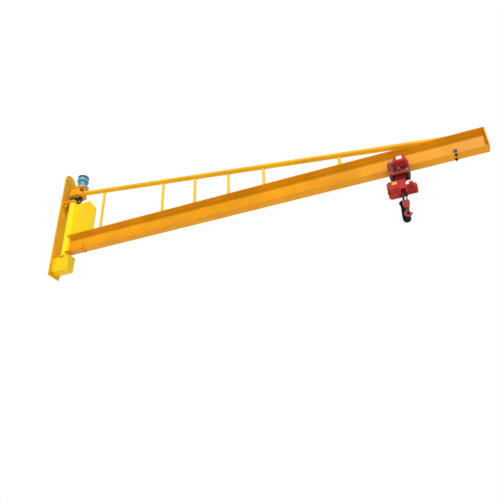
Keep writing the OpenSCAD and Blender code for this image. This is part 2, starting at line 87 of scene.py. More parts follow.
class CraneFinish(PropertyGroup):
    """Colours of the crane's finishes."""

    yellow: colour("Crane yellow", "Paint of the lower bracket, gusset and struts", (0.92, 0.61, 0.008))
    # Mast lemon is partly painted light: the mast's real paint is the crane yellow, and the lighter lemon on the mast
    # alone paints the sunlight on the round tube.
    mast: colour("Mast lemon", "Paint of the mast", (0.95, 0.79, 0.008))
    plate: colour("Plate yellow", "Paint of the wall plate and tie pipe", (0.9, 0.47, 0.005))
    orange: colour("Jib orange", "Paint of the beam, head and slewing arm", (0.82, 0.345, 0.003))
    # Primer brown is painted shade, not bare primer: it darkens the head's port to stand for the shadow inside an open
    # hole.
    primer: colour("Primer brown", "Bare primer in the head's port", (0.17, 0.045, 0.006))
    red: colour("Hoist red", "Paint of the hoist", (0.5, 0.026, 0.023))
    # Trolley red is painted shade: the hoist's red darkened to stand for the shadow of the gearbox and beam on the
    # trolley's plates and lug.
    trolley: colour("Trolley red", "Paint of the trolley's plates and lug", (0.3, 0.017, 0.015))
    faded: colour("Hook red", "Sun-faded paint of the hook and its block", (0.41, 0.05, 0.043))
    blue: colour("Motor blue", "Paint of the slewing motor", (0.2, 0.53, 0.66))
    cowl: colour("Cowl blue", "Paint of the slewing motor's cowl", (0.11, 0.38, 0.5))
    cap: colour("Cowl cap", "Dark cap of the slewing motor's cowl", (0.012, 0.062, 0.09))
    steel: colour("Oiled steel", "Gear, chain, wheels and latch", (0.11, 0.108, 0.105))
    black: colour("Blackened steel", "Outer stops", (0.035, 0.03, 0.022))
    zinc: colour("Zinc", "Bolts, nuts and the beam's wheel tracks", (0.2, 0.2, 0.19))
    rubber: colour("Rubber", "Spacers, sleeves, plugs and gland", (0.016, 0.016, 0.017))
    cloth: colour("Bag cloth", "Woven chain bag", (0.009, 0.009, 0.0095))
    label: colour("White film", "Blank rating plate", (0.82, 0.82, 0.8))
    sticker: colour("Orange film", "Blank load plate", (0.85, 0.4, 0.06))
    grime: colour("Grime", "Dust and rain streaks", (0.2, 0.11, 0.045))


class CraneDetail(PropertyGroup):
    """Sizes of the small pieces."""

    anchor: length("Anchor size", "Across the flats of the wall anchors' nuts", 0.03)
    screw: length("Screw size", "Across the flats of the cover screws", 0.010)
    weld: length("Weld size", "Radius of the weld beads", 0.0045)
    ripple: length("Weld ripple", "Distance between weld ripples", 0.009)
    bag_folds: IntProperty(name="Bag folds", description="Soft folds round the chain bag", default=7, min=3, max=16)


class CraneStage(PropertyGroup):
    """Camera, floor and light."""

    camera: FloatVectorProperty(
        name="Camera", description="Place of the camera", subtype="TRANSLATION", unit="LENGTH", size=3,
        default=(5.369, -5.745, -4.357),
    )
    azimuth: angle("Azimuth", "Turn of the view to the left", 20.1)
    tilt: angle("Tilt", "Upward tilt of the view", 31.0)
    roll: angle("Roll", "Roll of the view", -2.0)
    lens: FloatProperty(name="Lens", description="Focal length in millimetres", default=38.38)
    floor: length("Floor", "Height of the floor", -5.96)
    sun: FloatProperty(name="Sun", description="Strength of the key light", default=2.6)
    sky: FloatProperty(name="Sky", description="Strength of the fill light", default=0.42)


def detail():
    return bpy.context.scene.crane_detail


# Shader groups


class Graph:
    """A node tree with short calls for the nodes that the finishes use."""

    def __init__(self, tree):
        self.tree = tree

    def feed(self, node, inputs):
        """Sets a node's inputs by name or number: an output of another node is linked, and a value is set."""
        for key, value in inputs.items():
            if hasattr(value, "is_output"):
                self.tree.links.new(value, node.inputs[key])
            else:
                node.inputs[key].default_value = value

    def add(self, kind, inputs=None, **settings):
        node = self.tree.nodes.new(kind)
        for key, value in settings.items():
            setattr(node, key, value)
        self.feed(node, inputs or {})
        return node

    def noise(self, vector, scale, detail_level=4.0, roughness=0.55):
        inputs = {"Vector": vector, "Scale": scale, "Detail": detail_level, "Roughness": roughness}
        return self.add("ShaderNodeTexNoise", inputs).outputs["Fac"]

    def span(self, value, low, high, out_low=0.0, out_high=1.0):
        inputs = {"Value": value, "From Min": low, "From Max": high, "To Min": out_low, "To Max": out_high}
        return self.add("ShaderNodeMapRange", inputs, interpolation_type="SMOOTHSTEP").outputs["Result"]

    def math(self, operation, a, b):
        return self.add("ShaderNodeMath", {0: a, 1: b}, operation=operation).outputs[0]

    def times(self, a, b):
        return self.math("MULTIPLY", a, b)

    def mix(self, factor, a, b, blend="MIX"):
        return self.add("ShaderNodeMix", {0: factor, 6: a, 7: b}, data_type="RGBA", blend_type=blend).outputs[2]

    def stretched(self, vector, scale):
        return self.add("ShaderNodeMapping", {"Vector": vector, "Scale": scale}).outputs["Vector"]

    def axes(self, vector):
        return self.add("ShaderNodeSeparateXYZ", {0: vector}).outputs


def edge_mask(graph, radius):
    """White on the outer edges of a piece, where a rounded normal leaves the flat one."""
    soft = graph.add("ShaderNodeBevel", {"Radius": radius}, samples=4)
    flat = graph.add("ShaderNodeNewGeometry")
    normals = {0: soft.outputs["Normal"], 1: flat.outputs["True Normal"]}
    turn = graph.add("ShaderNodeVectorMath", normals, operation="DOT_PRODUCT")
    return graph.span(turn.outputs["Value"], 0.94, 0.8)


def build_track(graph, given, place):
    """Paint rolled off in two bright strips along the lower flange, where the trolley's wheels run."""
    where = place["Object"]
    axes = graph.axes(where)
    across, up = graph.math("ABSOLUTE", axes["Y"], 0.0), axes["Z"]
    strip = graph.times(graph.span(across, 0.036, 0.041), graph.span(across, 0.068, 0.063))
    low = graph.times(graph.span(up, 0.006, 0.009), graph.span(up, 0.03, 0.024))
    worn = graph.span(graph.noise(graph.stretched(where, (1.5, 60, 60)), 3.0, 5.0), 0.3, 0.62)
    mask = graph.times(graph.times(strip, low), graph.times(worn, given["Wear"]))
    tint = graph.mix(mask, given["Color"], given["Metal"])
    rough = graph.math("SUBTRACT", given["Roughness"], graph.times(mask, 0.1))
    return tint, rough, mask


def build_paint(graph, given, place):
    """Sprayed paint: cloudy colour, rain streaks, dust on ledges, chips to the primer and orange peel."""
    where = place["Object"]
    dull, bright, bare = (0.9, 0.88, 0.84, 1), (1.06, 1.05, 1.03, 1), (0.075, 0.05, 0.038, 1)
    cloud = graph.noise(where, 2.3, 5.0)
    tint = graph.mix(1.0, given["Paint"], graph.mix(graph.span(cloud, 0.3, 0.7), dull, bright), "MULTIPLY")
    streak = graph.noise(graph.stretched(where, (9, 9, 0.9)), 2.2, 6.0, 0.62)
    tint = graph.mix(graph.times(graph.span(streak, 0.54, 0.78), given["Streaks"]), tint, given["Grime"])
    ledge = graph.span(graph.axes(place["Normal"])["Z"], 0.55, 0.95)
    dust = graph.times(ledge, graph.span(graph.noise(where, 7.0, 6.0), 0.34, 0.66))
    tint = graph.mix(graph.times(dust, given["Dust"]), tint, given["Grime"])
    fine, broad = graph.noise(where, 75.0, 3.0), graph.noise(where, 5.0, 2.0)
    knocks = graph.math("ADD", graph.times(fine, 0.6), graph.times(broad, 0.4))
    edges = graph.times(edge_mask(graph, 0.004), graph.span(knocks, 0.5, 0.56))
    chips = graph.times(graph.math("MAXIMUM", graph.span(knocks, 0.665, 0.685), edges), given["Chips"])
    tint = graph.mix(chips, tint, bare)
    sheen = graph.span(graph.noise(where, 16.0, 4.0), 0.3, 0.7, 0.3, 0.44)
    rough = graph.math("ADD", sheen, graph.times(dust, 0.3))
    peel = graph.times(graph.noise(where, given["Peel"], 2.0), 0.35)
    height = graph.math("SUBTRACT", peel, graph.times(chips, 0.6))
    return tint, rough, height


def build_steel(graph, given, place):
    """Machined steel: turning marks, oil film and rust freckles."""
    where = place["Object"]
    polish, oil, rust = (0.62, 0.61, 0.59, 1), (0.016, 0.013, 0.01, 1), (0.16, 0.06, 0.022, 1)
    lines = graph.noise(graph.stretched(where, (40, 40, 420)), 3.0, 3.0)
    tint = graph.mix(graph.span(lines, 0.3, 0.7), given["Metal"], polish, "SOFT_LIGHT")
    film = graph.span(graph.noise(where, 24.0, 5.0), 0.42, 0.66)
    tint = graph.mix(graph.times(film, given["Oil"]), tint, oil)
    freckles = graph.times(graph.span(graph.noise(where, 130.0, 4.0), 0.62, 0.7), given["Rust"])
    tint = graph.mix(freckles, tint, rust)
    rough = graph.span(film, 0.0, 1.0, 0.46, 0.26)
    height = graph.math("ADD", graph.times(lines, 0.3), graph.times(freckles, 0.4))
    return tint, rough, height


def build_moulded(graph, given, place):
    """Moulded rubber or plain film: fine grain with scuffs."""
    where = place["Object"]
    scuff = graph.span(graph.noise(where, 38.0, 6.0), 0.5, 0.72)
    tint = graph.mix(graph.times(scuff, given["Scuffs"]), given["Base"], given["Grime"])
    grain = graph.noise(where, 900.0, 2.0)
    return tint, graph.span(scuff, 0.0, 1.0, 0.5, 0.78), grain


def build_weave(graph, given, place):
    """Plain weave cloth on the piece's own UV map, with painted shade in the gaps between the threads."""
    dust, thread_gap_shade = (0.075, 0.068, 0.06, 1), (0.003, 0.003, 0.003, 1)
    inputs = {"Vector": place["UV"], "Scale": given["Threads"], "Distortion": 0.6}
    waves = [graph.add("ShaderNodeTexWave", inputs, bands_direction=way, wave_profile="SIN") for way in "XY"]
    threads = graph.math("MAXIMUM", *(wave.outputs["Fac"] for wave in waves))
    fade = graph.span(graph.noise(place["Object"], 14.0, 5.0), 0.4, 0.75)
    tint = graph.mix(graph.times(fade, 0.35), given["Cloth"], dust)
    # Painted shade: the gaps between the threads are darkened towards black.
    tint = graph.mix(graph.span(threads, 0.1, 0.9, 0.45, 0.0), tint, thread_gap_shade)
    return tint, graph.span(threads, 0.0, 1.0, 0.95, 0.72), threads


COLOUR, NUMBER = "NodeSocketColor", "NodeSocketFloat"
OUTPUTS = {"Color": COLOUR, "Roughness": NUMBER, "Height": NUMBER}
WHITE, GREY, DARK, DIRT = (1, 1, 1, 1), (0.3, 0.3, 0.3, 1), (0.02, 0.02, 0.02, 1), (0.2, 0.1, 0.05, 1)
# Each group: what fills it, and the defaults of its inputs, a colour or a number
GROUPS = {
    "sprayed_paint": (
        build_paint, {"Paint": WHITE, "Grime": DIRT, "Streaks": 0.2, "Dust": 0.4, "Chips": 0.8, "Peel": 420.0}),
    "machined_steel": (build_steel, {"Metal": GREY, "Oil": 0.5, "Rust": 0.3}),
    "moulded_skin": (build_moulded, {"Base": DARK, "Grime": DIRT, "Scuffs": 0.3}),
    "wheel_track": (build_track, {"Color": WHITE, "Roughness": 0.4, "Metal": GREY, "Wear": 0.8}),
    "plain_weave": (build_weave, {"Cloth": DARK, "Threads": 60.0}),
}


def place_group(graph, name, values):
    """Places a shader group with its values in a material, and fills the group the first time."""
    group = bpy.data.node_groups.get(name)
    if not group:
        build, inputs = GROUPS[name]
        group = bpy.data.node_groups.new(name, "ShaderNodeTree")
        for label, default in inputs.items():
            kind = COLOUR if isinstance(default, tuple) else NUMBER
            group.interface.new_socket(name=label, in_out="INPUT", socket_type=kind).default_value = default
        for label, kind in OUTPUTS.items():
            group.interface.new_socket(name=label, in_out="OUTPUT", socket_type=kind)
        inside = Graph(group)
        entry, leave = inside.add("NodeGroupInput"), inside.add("NodeGroupOutput")
        place = inside.add("ShaderNodeTexCoord")
        inside.feed(leave, dict(zip(OUTPUTS, build(inside, entry.outputs, place.outputs))))
    return graph.add("ShaderNodeGroup", values, node_tree=group)


def sprayed(paint, streaks=0.2, dust=0.4, chips=0.75, peel=420.0, **look):
    """Row of a sprayed paint in the table of finishes."""
    values = {"Paint": paint, "Grime": "grime", "Streaks": streaks, "Dust": dust, "Chips": chips, "Peel": peel}
    return "sprayed_paint", values, look


def machined(metal, oil, rust, **look):
    """Row of a bare metal in the table of finishes."""
    return "machined_steel", {"Metal": metal, "Oil": oil, "Rust": rust}, look


def moulded(base, scuffs, **look):
    """Row of a rubber or film in the table of finishes."""
    return "moulded_skin", {"Base": base, "Grime": "grime", "Scuffs": scuffs}, look


# Each finish: its shader group, the group's inputs, where a word names a colour of CraneFinish, and its look
PLAIN = {"bump": (0.3, 0.001), "metallic": 0.0, "gloss": 0.14}
CAST = {"peel": 150.0, "bump": (0.45, 0.0016)}
FILM_BUMP = (0.1, 0.0003)
FINISHES = {
    "crane_yellow": sprayed("yellow"),
    # Partly painted light: a lighter copy of the crane yellow for the sunlit mast.
    "mast_lemon": sprayed("mast"),
    "plate_yellow": sprayed("plate"),
    "jib_orange": sprayed("orange"),
    # Painted shade: the dark brown of the head's port.
    "primer_brown": sprayed("primer"),
    "hoist_red": sprayed("red", 0.3, 0.45),
    # Painted shade: a darker copy of the hoist's red for the trolley's plates and lug.
    "trolley_red": sprayed("trolley", 0.3, 0.45),
    "cast_red": sprayed("red", 0.26, 0.5, 0.8, **CAST),
    "faded_red": sprayed("faded", 0.26, 0.6, 0.9, **CAST),
    "motor_blue": sprayed("blue", 0.08, 0.2, 0.3, gloss=0.45),
    "cowl_blue": sprayed("cowl", 0.08, 0.25, 0.3, gloss=0.45),
    "cap_blue": sprayed("cap", 0.08, 0.2, 0.2, gloss=0.3),
    "oiled_steel": machined("steel", 0.55, 0.35, metallic=0.75, gloss=0.3),
    "black_steel": machined("black", 0.4, 0.5, metallic=0.3, gloss=0.2),
    "zinc_plate": machined("zinc", 0.12, 0.3, metallic=0.7, gloss=0.3),
    "black_rubber": moulded("rubber", 0.3, bump=(0.25, 0.0006), gloss=0.3),
    "white_film": moulded("label", 0.22, bump=FILM_BUMP),
    "orange_film": moulded("sticker", 0.22, bump=FILM_BUMP),
    "bag_cloth": ("plain_weave", {"Cloth": "cloth", "Threads": 60.0}, {"bump": (0.5, 0.001)}),
}


def opaque(name):
    return (*getattr(bpy.context.scene.crane_finish, name), 1.0)


def principled(name):
    """A new material, with the short calls for its nodes and its shader."""
    material = bpy.data.materials.new(name)
    material.use_nodes = True
    return material, Graph(material.node_tree), material.node_tree.nodes["Principled BSDF"]


def finish(name):
    """The material of a finish, made once on its shader group."""
    if name in bpy.data.materials:
        return bpy.data.materials[name]
    group, values, look = FINISHES[name]
    look = {**PLAIN, **look}
    material, graph, shader = principled(name)
    values = {label: opaque(value) if isinstance(value, str) else value for label, value in values.items()}
    effect = place_group(graph, group, values).outputs
    strength, distance = look["bump"]
    relief = graph.add("ShaderNodeBump", {"Strength": strength, "Distance": distance, "Height": effect["Height"]})
    graph.feed(shader, {
        "Base Color": effect["Color"],
        "Roughness": effect["Roughness"],
        "Normal": relief.outputs["Normal"],
        "Metallic": look["metallic"],
        "Specular IOR Level": look["gloss"],
    })
    return material


def runway_orange():
    """The jib's orange with the wheel tracks of the trolley on it."""
    material = finish("jib_orange").copy()
    material.name = "runway_orange"
    graph = Graph(material.node_tree)
    shader = material.node_tree.nodes["Principled BSDF"]
    painted = {key: shader.inputs[key].links[0].from_socket for key in ("Base Color", "Roughness")}
    values = {"Color": painted["Base Color"], "Roughness": painted["Roughness"], "Metal": opaque("zinc")}
    track = place_group(graph, "wheel_track", values).outputs
    graph.feed(shader, {"Base Color": track["Color"], "Roughness": track["Roughness"]})
    return material


# Modelling helpers


def facing(point, axis):
    """Matrix that puts +Z of a small shape along axis, at point."""
    return Matrix.Translation(Vector(point)) @ Vector(axis).to_track_quat("Z", "Y").to_matrix().to_4x4()


def middle(node):
    low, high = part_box(node)
    return (low + high) / 2


def half_width(node):
    low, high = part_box(node)
    return (high.x - low.x) / 2


def mesh_of(name, shape):
    """Turns a bmesh into a mesh."""
    mesh = bpy.data.meshes.new(name)
    shape.to_mesh(mesh)
    shape.free()
    return mesh


def piece(name, shape, body, material, smooth=False):
    """Turns a bmesh into a piece of the crane that rides on a body."""
    bmesh.ops.remove_doubles(shape, verts=shape.verts, dist=1e-6)
    bmesh.ops.recalc_face_normals(shape, faces=shape.faces)
    mesh = mesh_of(name, shape)
    if smooth:
        mesh.shade_smooth()
    mesh.materials.append(finish(material))
    made = bpy.data.objects.new(name, mesh)
    bpy.context.scene.collection.objects.link(made)
    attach(made, body)
    return made


def subdivide(made):
    soft = made.modifiers.new("soft", "SUBSURF")
    soft.levels = soft.render_levels = 1


def join(shape, part, place=None):
    """Moves a part to its place and joins it to a larger shape."""
    if place:
        bmesh.ops.transform(part, matrix=place, verts=part.verts)
    bmesh.ops.recalc_face_normals(part, faces=part.faces)
    mesh = mesh_of("part", part)
    shape.from_mesh(mesh)
    bpy.data.meshes.remove(mesh)


def soften(shape, edges, offset, segments):
    """Bevels some edges of a shape."""
    bmesh.ops.bevel(
        shape, geom=edges, offset=offset, segments=segments, profile=0.5, affect="EDGES", material=-1)


def draw_on(shape, ring):
    """Extrudes a ring of edges and gives the new ring's vertices and edges."""
    grown = bmesh.ops.extrude_edge_only(shape, edges=ring)["geom"]
    verts = [g for g in grown if isinstance(g, bmesh.types.BMVert)]
    edges = [g for g in grown if isinstance(g, bmesh.types.BMEdge) and all(v in verts for v in g.verts)]
    return verts, edges


def turned(shape, place, profile, segments=24):
    """Spins a (radius, height) profile about the place's own Z."""
    part = bmesh.new()
    verts = [part.verts.new((r, 0, h)) for r, h in profile]
    edges = [part.edges.new(pair) for pair in zip(verts, verts[1:])]
    bmesh.ops.spin(
        part, geom=verts + edges, cent=(0, 0, 0), axis=(0, 0, 1), angle=tau, steps=segments, use_merge=True)
    bmesh.ops.remove_doubles(part, verts=part.verts, dist=1e-6)
    join(shape, part, place)


def hexagon(shape, place, flats, height, base=0.0):
    """A chamfered hexagon head or nut, standing base above its place."""
    part = bmesh.new()
    corner = flats / sqrt(3)
    bmesh.ops.create_cone(part, cap_ends=True, segments=6, radius1=corner, radius2=corner, depth=height)
    soften(part, [e for e in part.edges if all(v.co.z > 0 for v in e.verts)], flats * 0.07, 1)
    join(shape, part, place @ Matrix.Translation((0, 0, base + height / 2)))


def bolt(shape, point, axis, flats, stud=0.0):
    """Washer, hexagon and, for a nut, the stud's end, on a face at point."""
    place = facing(point, axis)
    washer, head, bore, rim = flats * 0.12, flats * 0.62, flats * 0.3, flats * 0.98
    ring = [(bore, 0), (rim, 0), (rim, washer * 0.7), (flats * 0.92, washer), (bore, washer), (bore, 0)]
    turned(shape, place, ring)
    hexagon(shape, place, flats, head, washer)
    if stud:
        tip, thread = washer + head + stud, flats * 0.33
        end = [(0, washer), (thread, washer), (thread, tip - flats * 0.06), (flats * 0.26, tip), (0, tip)]
        turned(shape, place, end, 16)


def block(size, centre):
    """A plain box, from which slabs and plates start."""
    part = bmesh.new()
    bmesh.ops.create_cube(part, size=1.0)
    bmesh.ops.scale(part, vec=size, verts=part.verts)
    bmesh.ops.translate(part, vec=centre, verts=part.verts)
    return part


def slab(shape, low, high, round_off):
    """A box between two corners with rounded edges."""
    low, high = Vector(low), Vector(high)
    part = block(high - low, (low + high) / 2)
    soften(part, part.edges[:], round_off, 2)
    join(shape, part)


def thin_plate(shape, place, width, height, thick, round_off):
    """A thin plate with rounded corners on the place's own XY plane."""
    part = block((width, height, thick), (0, 0, thick / 2))
    uprights = [e for e in part.edges if abs(e.verts[0].co.z - e.verts[1].co.z) > thick / 2]
    soften(part, uprights, round_off, 4)
    join(shape, part, place)


def grille_ring(shape, place, radius, crown, segments):
    """A raised ring of a fan grille, whose top is crown wide on each side of its radius."""
    half, shoulder, top = 0.003, 0.002, 0.0035
    inner, outer = radius - half, radius + half
    ridge = [(radius - crown, top), (radius + crown, top)] if crown else [(radius, top)]
    profile = [(inner, 0), (inner, shoulder), *ridge, (outer, shoulder), (outer, 0), (inner, 0)]
    turned(shape, place, profile, segments)


def resampled(points, step):
    """Points along a polyline at about equal steps."""
    out = [Vector(points[0])]
    for a, b in zip(points, points[1:]):
        a, b = Vector(a), Vector(b)
        count = max(1, round((b - a).length / step))
        out += [a.lerp(b, i / count) for i in range(1, count + 1)]
    return out


def bead(shape, *points):
    """A rippled weld bead drawn along a path: a ring extruded from point to point, swelling at every other ring."""
    path = resampled(points, detail().ripple)
    heading = (path[1] - path[0]).normalized()
    sides, ripple = 6, 1.22
    part = bmesh.new()
    bmesh.ops.create_circle(part, cap_ends=True, segments=sides, radius=detail().weld * 0.8)
    bmesh.ops.transform(part, matrix=facing(path[0], heading), verts=part.verts)
    ring = part.edges[:]
    for i in range(1, len(path)):
        verts, ring = draw_on(part, ring)
        bmesh.ops.translate(part, vec=path[i] - path[i - 1], verts=verts)
        if i + 1 < len(path):
            ahead = (path[i + 1] - path[i - 1]).normalized()
            turn = heading.rotation_difference(ahead).to_matrix()
            bmesh.ops.rotate(part, cent=path[i], matrix=turn, verts=verts)
            heading = ahead
        swell = ripple if i % 2 else 1 / ripple
        bmesh.ops.scale(part, vec=(swell, swell, swell), space=Matrix.Translation(-path[i]), verts=verts)
    bmesh.ops.holes_fill(part, edges=ring, sides=sides)
    join(shape, part)


def round_angles(count):
    """Angles of a closed ring of points, the first one again at the end."""
    return [tau * i / count for i in range(count + 1)]


def ring_bead(shape, centre, radius):
    """A weld bead round a pipe or tube that stands upright, at its outer face."""
    place = facing(centre, AXIS_Z)
    out = radius + detail().weld * 0.3
    bead(shape, *(place @ Vector((out * cos(a), out * sin(a), 0)) for a in round_angles(28)))


# Operators


class CRANE_OT_stage(Operator):
    """Set the camera, the pale floor and the soft light"""

    bl_idname = "crane.stage"
    bl_label = "Stage"

    def execute(self, context):
        scene = context.scene
        scene.view_settings.view_transform = "Standard"
        self.camera(scene, scene.crane_stage)
        self.floor(scene, scene.crane_stage)
        self.light(scene, scene.crane_stage)
        return {"FINISHED"}

    def camera(self, scene, s):
        level = cos(s.tilt)
        forward = Vector((-sin(s.azimuth) * level, cos(s.azimuth) * level, sin(s.tilt)))
        right = Vector((cos(s.azimuth), sin(s.azimuth), 0))
        up = right.cross(forward)
        turn, lean = cos(s.roll), sin(s.roll)
        right, up = turn * right + lean * up, turn * up - lean * right
        camera = bpy.data.objects.new("camera", bpy.data.cameras.new("camera"))
        scene.collection.objects.link(camera)
        camera.data.lens = s.lens
        camera.data.sensor_width = 36.0
        camera.data.clip_end = 200.0
        camera.matrix_world = Matrix.Translation(s.camera) @ Matrix((right, up, -forward)).transposed().to_4x4()
        scene.camera = camera

    def floor(self, scene, s):
        shape = bmesh.new()
        bmesh.ops.create_grid(shape, x_segments=8, y_segments=8, size=60.0)
        bmesh.ops.translate(shape, vec=(3, 0, s.floor), verts=shape.verts)
        mesh = mesh_of("floor", shape)
        material, graph, shader = principled("pale_floor")
        graph.feed(shader, {"Base Color": (0.86, 0.86, 0.85, 1), "Roughness": 0.9})
        mesh.materials.append(material)
        floor = bpy.data.objects.new("floor", mesh)
        scene.collection.objects.link(floor)

    def light(self, scene, s):
        sun = bpy.data.lights.new("key", "SUN")
        sun.energy = s.sun
        sun.angle = radians(10)
        sun.color = (1.0, 0.97, 0.92)
        lamp = bpy.data.objects.new("key", sun)
        lamp.matrix_world = facing((0, 0, 6), (0.2, -0.6, 0.77))
        scene.collection.objects.link(lamp)
        world = bpy.data.worlds.new("studio")
        world.use_nodes = True
        scene.world = world
        graph = Graph(world.node_tree)
        rays = graph.add("ShaderNodeLightPath").outputs
        mirrored = graph.math("MAXIMUM", rays["Is Glossy Ray"], rays["Is Transmission Ray"])
        seen = graph.math("MAXIMUM", rays["Is Camera Ray"], mirrored)
        strength = graph.math("ADD", s.sky, graph.times(seen, 1.0 - s.sky))
        graph.feed(world.node_tree.nodes["Background"], {"Color": (1, 1, 1, 1), "Strength": strength})


class CRANE_OT_finishes(Operator):
    """Give every CAD piece its finish"""

    bl_idname = "crane.finishes"
    bl_label = "Finishes"

    by_slot = {
        "yellow_paint": "crane_yellow",
        "red_paint": "hoist_red",
        "blue_paint": "motor_blue",
        "steel": "oiled_steel",
        "rubber": "black_rubber",
        "bag": "bag_cloth",
    }
    nodes_of = {
        # The mast takes the crane yellow lightened as painted light.
        "mast_lemon": ("mast_tube",),
        "plate_yellow": ("wall_plate", "tie_pipe"),
        "jib_orange": (
            "tip_plate", "inner_stops", "head_bottom_plate", "head_wall", "head_top_plate", "top_arm", "arm_ribs"),
        # The head's port is painted dark brown as painted shade.
        "primer_brown": ("head_port",),
        "cowl_blue": ("slew_motor_cowl",),
        "black_steel": ("outer_stops",),
        # The trolley's plates and lug take the hoist's red darkened as painted shade.
        "trolley_red": ("trolley_plate_front", "trolley_plate_rear", "hoist_lug"),
        "cast_red": ("hoist_gear_case", "hoist_motor", "travel_gearbox"),
        "faded_red": ("hook_block",),
    }

    def execute(self, context):
        names = {row["node"]: self.by_slot[row["material_slot"]] for row in frame["record"]["subparts"]}
        for name, nodes in self.nodes_of.items():
            names.update(dict.fromkeys(nodes, name))
        for name, node in NODES.items():
            node.data.materials.clear()
            node.data.materials.append(runway_orange() if name == "jib_beam" else finish(names[name]))
        return {"FINISHED"}


class CRANE_OT_anchors(Operator):
    """Put a nut, a washer and a stud end on every wall anchor"""

    bl_idname = "crane.anchors"
    bl_label = "Wall anchors"

    def execute(self, context):
        shape = bmesh.new()
        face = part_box("wall_plate")[1].x
        for name in ("top_bolts", "bottom_bolts"):
            mount = MOUNTS[name]
            dy, dz = mount["dims"]["spacing_x_mm"] / 2000, mount["dims"]["spacing_y_mm"] / 2000
            for y in (-dy, dy):
                for z in (mount["pos_m"][2] - dz, mount["pos_m"][2] + dz):
                    bolt(shape, (face, y, z), AXIS_X, detail().anchor, stud=0.014)
        piece("wall_anchors", shape, "wall_frame", "plate_yellow")
        return {"FINISHED"}


class CRANE_OT_head_bolts(Operator):
    """Fit out the slewing head: bolts, screws, terminal lid and gland, blank plate, cowl grille and cap, port plug"""

    bl_idname = "crane.head_bolts"
    bl_label = "Slewing head fittings"

    def execute(self, context):
        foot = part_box("slew_motor")[0].z
        low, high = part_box("slew_motor_cowl")
        axis, radius = middle("slew_motor_cowl").x, half_width("slew_motor_cowl")
        self.flange_bolts(axis, foot)
        self.terminal_box(axis, radius, low.z)
        tag, front = bmesh.new(), -0.0762
        thin_plate(tag, facing((axis, front, (foot + low.z) / 2 + 0.008), -AXIS_Y), 0.05, 0.034, 0.0015, 0.003)
        piece("blank_motor_plate", tag, "jib", "zinc_plate")
        self.cowl(facing((axis, 0, high.z), AXIS_Z), radius)
        self.port(axis)
        return {"FINISHED"}

    def flange_bolts(self, axis, foot):
        count, out, flange = 8, 0.0835, 0.016
        shape = bmesh.new()
        for i in range(count):
            a = tau * (i + 0.5) / count
            point = (axis + out * cos(a), out * sin(a), foot + flange)
            hexagon(shape, facing(point, AXIS_Z), 0.012, 0.008)
        piece("motor_flange_bolts", shape, "jib", "zinc_plate")

    def terminal_box(self, axis, radius, cowl_foot):
        """Screws of the cowl and the box, and the box's lid and cable gland."""
        low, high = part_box("slew_terminal_box")
        inset, lid_thick, lip, seat = 0.009, 0.006, 0.002, 0.998
        screws, lid, gland = bmesh.new(), bmesh.new(), bmesh.new()
        for a in CORNERS:
            point = (axis + radius * seat * cos(a), radius * seat * sin(a), cowl_foot + 0.012)
            bolt(screws, point, (cos(a), sin(a), 0), detail().screw)
        for x in (low.x + inset, high.x - inset):
            for z in (low.z + inset, high.z - inset):
                bolt(screws, (x, high.y + lid_thick, z), AXIS_Y, detail().screw * 0.8)
        piece("motor_screws", screws, "jib", "zinc_plate")
        corner = (high.x + lip, high.y + lid_thick, high.z + lip)
        slab(lid, (low.x - lip, high.y, low.z - lip), corner, 0.0015)
        piece("terminal_lid", lid, "jib", "motor_blue")
        place, nut, body, end = facing((low.x, (low.y + high.y) / 2, low.z + 0.024), -AXIS_X), 0.008, 0.0105, 0.021
        hexagon(gland, place, 0.024, nut)
        turned(gland, place, [(0, nut), (body, nut), (body, 0.016), (0.0085, end), (0, end)])
        piece("terminal_gland", gland, "jib", "black_rubber")

    def cowl(self, top, radius):
        """Raised rings of the fan grille, and the dark cap over the cowl's rounded shoulder."""
        grille, cap = bmesh.new(), bmesh.new()
        for r in (0.022, 0.034, 0.046):
            grille_ring(grille, top, r, 0.0015, 40)
        turned(grille, top, [(0, 0), (0.012, 0), (0.012, 0.0025), (0.0095, 0.004), (0, 0.004)], 32)
        piece("cowl_grille", grille, "jib", "cap_blue")
        skin, skirt, bend, lap = 0.0015, 0.05, 0.02, 0.002
        angles = [radians(15 * i) for i in range(7)]
        arc = [(radius - bend + (bend + skin) * cos(a), (bend + skin) * sin(a) - bend) for a in angles]
        inside = [(radius - bend, -lap), (radius - 0.006, -bend), (radius - lap, -skirt)]
        turned(cap, top, [(radius - lap, -skirt), (radius + skin, -skirt), *arc, *inside], 64)
        piece("cowl_cap", cap, "jib", "cap_blue")

    def port(self, axis):
        """A plug on the boss of the head's port, which looks out between the wall and the beam."""
        low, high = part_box("head_port")
        turn, port_radius = radians(50), 0.032
        out = Vector((cos(turn), -sin(turn), 0))
        reach = (high.x - axis - port_radius * sin(turn)) / cos(turn)
        plug = bmesh.new()
        hexagon(plug, facing(Vector((axis, 0, (low.z + high.z) / 2)) + out * reach, out), 0.022, 0.006)
        piece("port_plug", plug, "jib", "jib_orange")


